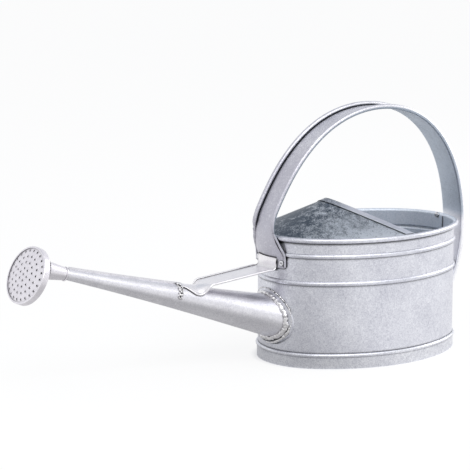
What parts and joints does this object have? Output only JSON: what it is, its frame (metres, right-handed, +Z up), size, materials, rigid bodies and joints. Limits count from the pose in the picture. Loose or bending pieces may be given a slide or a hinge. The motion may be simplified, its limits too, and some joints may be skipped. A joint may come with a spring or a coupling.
{
  "type": "watering can",
  "caption": "Oval galvanised steel watering can with a half hood, a strap handle over the top, a long tapered spout tied back by a strut, and a push-fit rose.",
  "frame": {"origin": "centre of the oval foot, on the ground", "axes": "+Z up, spout along -X, the body symmetric about the plane Y = 0"},
  "size_m": [0.5634, 0.1816, 0.2816],
  "materials": {
    "galvanised_sheet": "pale hot-dip galvanised sheet with a faint spangle, satin",
    "strap": "hot-dip galvanised strap with rolled edges, satin",
    "rim_wire": "plain drawn wire, hidden in the rolled rim",
    "rivet": "galvanised round-head rivet, satin",
    "solder": "bright tin solder fillet, slightly uneven",
    "rose_sheet": "galvanised sheet, drawn and perforated, satin"
  },
  "bodies": {
    "can": {"body_wall": "galvanised_sheet", "rim_wire": "rim_wire", "base_plate": "galvanised_sheet", "base_solder": "solder", "foot_hoop": "galvanised_sheet", "hood": "galvanised_sheet", "hood_solder": "solder", "handle_strap": "strap", "handle_front_rivets": "rivet", "handle_back_rivets": "rivet", "strut": "strap", "strut_solder": "solder", "spout_tube": "galvanised_sheet", "spout_flange": "galvanised_sheet", "spout_solder": "solder"},
    "rose": {"rose_collar": "rose_sheet", "rose_solder": "solder", "rose_back": "rose_sheet", "rose_rim": "rose_sheet", "rose_face": "rose_sheet"}
  },
  "joints": [
    {"name": "rose_pull", "type": "slide", "parent": "can", "child": "rose", "axis": [-0.9593, 0, 0.2823], "range_m": [0, 0.03]}
  ]
}
